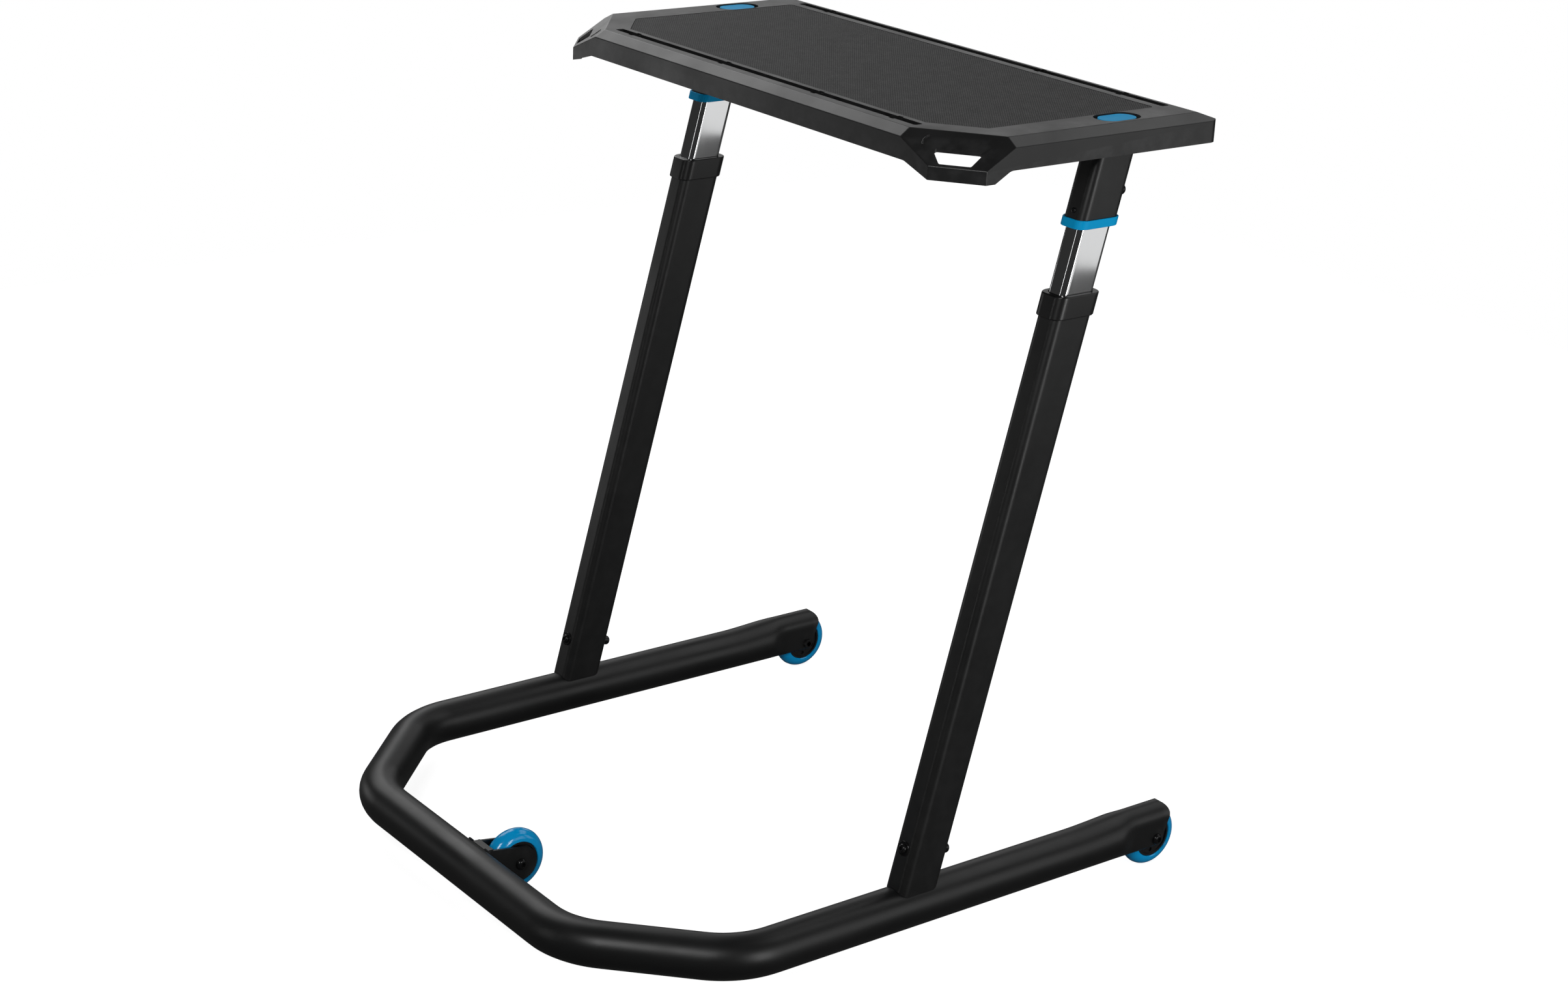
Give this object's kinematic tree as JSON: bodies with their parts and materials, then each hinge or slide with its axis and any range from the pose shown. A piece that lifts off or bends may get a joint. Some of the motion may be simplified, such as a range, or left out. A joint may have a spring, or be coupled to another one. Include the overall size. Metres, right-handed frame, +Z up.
{
  "type": "bike trainer desk",
  "caption": "Height-adjustable standing desk on leaning telescopic posts and a wheeled U-shaped tube base, with release buttons, tablet slots and corner hand holes.",
  "frame": {"origin": "on the floor, midway between the two rails and midway along the base", "axes": "+X to the right as seen from the closed front of the base, +Y towards the rider's open side, +Z up"},
  "size_m": [0.765, 0.81, 0.9315],
  "materials": {
    "black_frame": "satin powder coat",
    "black_hardware": "black oxide",
    "chrome": "mirror",
    "inner_steel": "bright",
    "spring_body": "gloss",
    "shell_plastic": "fine texture",
    "collar_plastic": "satin",
    "mat_rubber": "woven texture",
    "blue_plastic": "satin gloss",
    "blue_tyre": "glossy urethane",
    "hub_plastic": "gloss",
    "guide_nylon": "natural"
  },
  "bodies": {
    "base": {"base_tube": "black_frame", "front_wheel_fork": "black_frame", "left_leg_stub": "black_frame", "left_lower_leg": "black_frame", "left_leg_bolt": "black_hardware", "left_collar": "collar_plastic", "left_leg_bush": "guide_nylon", "left_spring_foot": "inner_steel", "left_spring_rod": "inner_steel", "right_leg_stub": "black_frame", "right_lower_leg": "black_frame", "right_leg_bolt": "black_hardware", "right_collar": "collar_plastic", "right_leg_bush": "guide_nylon", "right_spring_foot": "inner_steel", "right_spring_rod": "inner_steel", "rear_left_axle": "black_hardware", "rear_right_axle": "black_hardware", "front_axle": "black_hardware"},
    "desk": {"desk_shell": "shell_plastic", "desk_mat": "mat_rubber", "cross_beam": "black_frame", "left_tube_guide": "guide_nylon", "left_chrome_tube": "chrome", "left_ring": "blue_plastic", "left_upper_sleeve": "black_frame", "left_sleeve_bolt": "black_hardware", "left_sleeve_screw": "black_hardware", "left_spring_cylinder": "spring_body", "left_head_plug": "inner_steel", "left_mount_plate": "black_frame", "left_front_mount_screw": "inner_steel", "left_rear_mount_screw": "inner_steel", "right_tube_guide": "guide_nylon", "right_chrome_tube": "chrome", "right_ring": "blue_plastic", "right_upper_sleeve": "black_frame", "right_sleeve_bolt": "black_hardware", "right_sleeve_screw": "black_hardware", "right_spring_cylinder": "spring_body", "right_head_plug": "inner_steel", "right_mount_plate": "black_frame", "right_front_mount_screw": "inner_steel", "right_rear_mount_screw": "inner_steel"},
    "left_button": {"left_release_button": "blue_plastic", "left_button_stem": "guide_nylon", "left_button_spring": "inner_steel"},
    "right_button": {"right_release_button": "blue_plastic", "right_button_stem": "guide_nylon", "right_button_spring": "inner_steel"},
    "rear_left_wheel": {"rear_left_tyre": "blue_tyre", "rear_left_hub": "hub_plastic", "rear_left_bearings": "inner_steel"},
    "rear_right_wheel": {"rear_right_tyre": "blue_tyre", "rear_right_hub": "hub_plastic", "rear_right_bearings": "inner_steel"},
    "front_wheel": {"front_tyre": "blue_tyre", "front_hub": "hub_plastic", "front_bearings": "inner_steel"}
  },
  "joints": [
    {"name": "desk_lift", "type": "slide", "parent": "base", "child": "desk", "axis": [0, 0.2453, 0.9694], "range_m": [-0.0738, 0.29]},
    {"name": "left_button_press", "type": "slide", "parent": "desk", "child": "left_button", "axis": [0, 0, -1], "range_m": [0, 0.003], "stiffness_N_per_m": 3300, "deforming": ["left_button_spring"]},
    {"name": "right_button_press", "type": "slide", "parent": "desk", "child": "right_button", "axis": [0, 0, -1], "range_m": [0, 0.003], "stiffness_N_per_m": 3300, "deforming": ["right_button_spring"]},
    {"name": "rear_left_wheel_spin", "type": "hinge", "parent": "base", "child": "rear_left_wheel", "pos_m": [-0.348, 0.367, 0.038], "axis": [1, 0, 0], "continuous": true},
    {"name": "rear_right_wheel_spin", "type": "hinge", "parent": "base", "child": "rear_right_wheel", "pos_m": [0.348, 0.367, 0.038], "axis": [1, 0, 0], "continuous": true},
    {"name": "front_wheel_spin", "type": "hinge", "parent": "base", "child": "front_wheel", "pos_m": [0, -0.313, 0.038], "axis": [1, 0, 0], "continuous": true}
  ]
}
